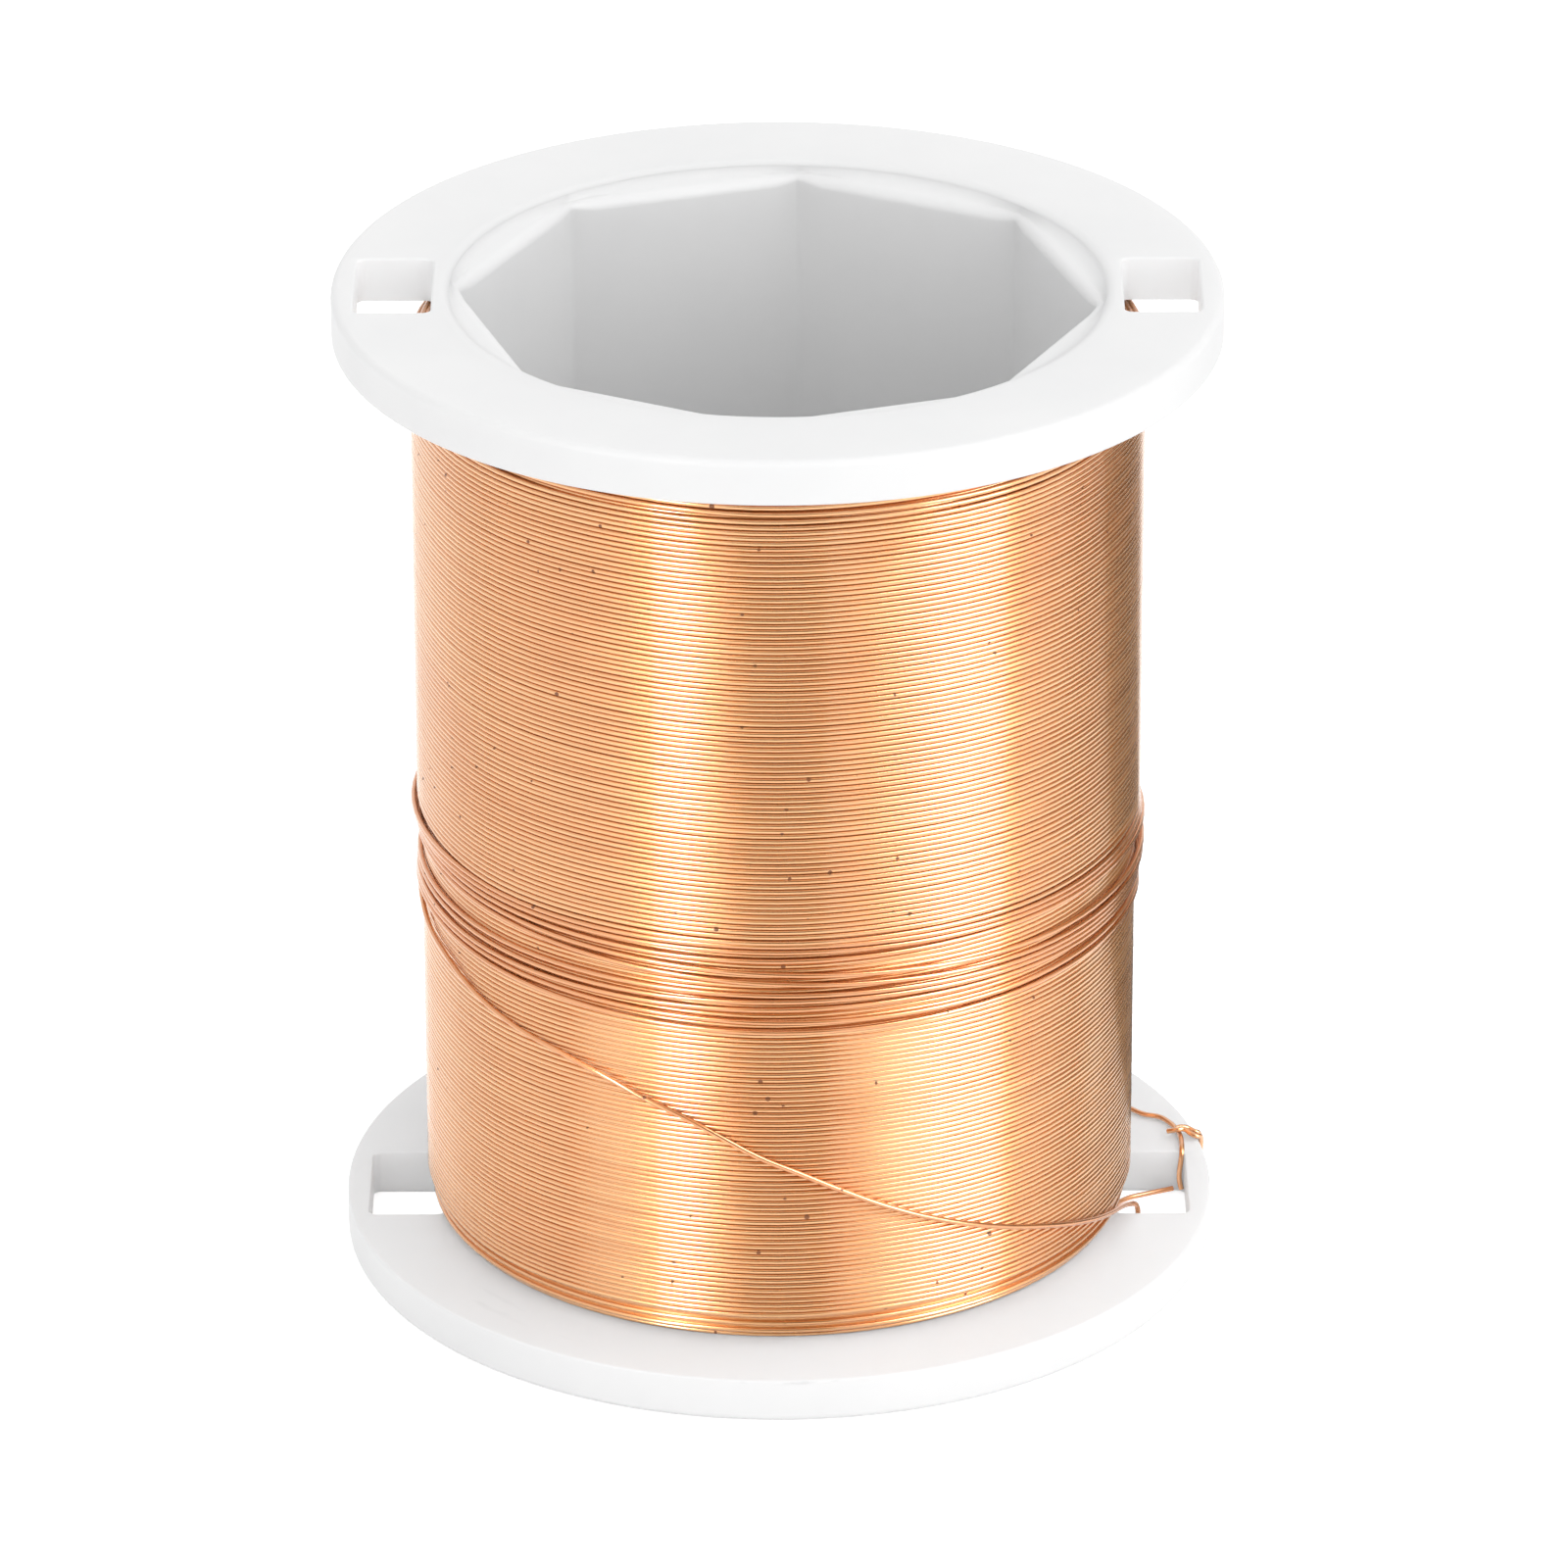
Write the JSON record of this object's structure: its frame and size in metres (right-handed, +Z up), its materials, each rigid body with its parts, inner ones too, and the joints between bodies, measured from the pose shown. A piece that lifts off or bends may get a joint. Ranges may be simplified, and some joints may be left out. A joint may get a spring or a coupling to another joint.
{
  "type": "wire spool",
  "caption": "Round plastic spool with an eight-sided hub bore and slotted end flanges, wound with fine bare copper wire whose ends are tied off in a flange slot.",
  "frame": {"origin": "centre of the lower flange's underside, at the bottom centre of the bounding box", "axes": "+Z runs up the hub's axis, from the lower flange to the upper flange; +X points at the slot that holds the wire's ends; -Y faces the viewer"},
  "size_m": [0.052, 0.052, 0.061],
  "materials": {
    "plastic": "natural white, slightly translucent",
    "copper": "bright drawn copper"
  },
  "bodies": {
    "root": {"hub": "plastic", "upper_flange": "plastic", "lower_flange": "plastic", "wire_core": "copper", "outer_turns": "copper", "low_turns": "copper", "finish_tail": "copper", "start_tail": "copper", "near_wrap": "copper", "far_wrap": "copper"}
  },
  "joints": []
}
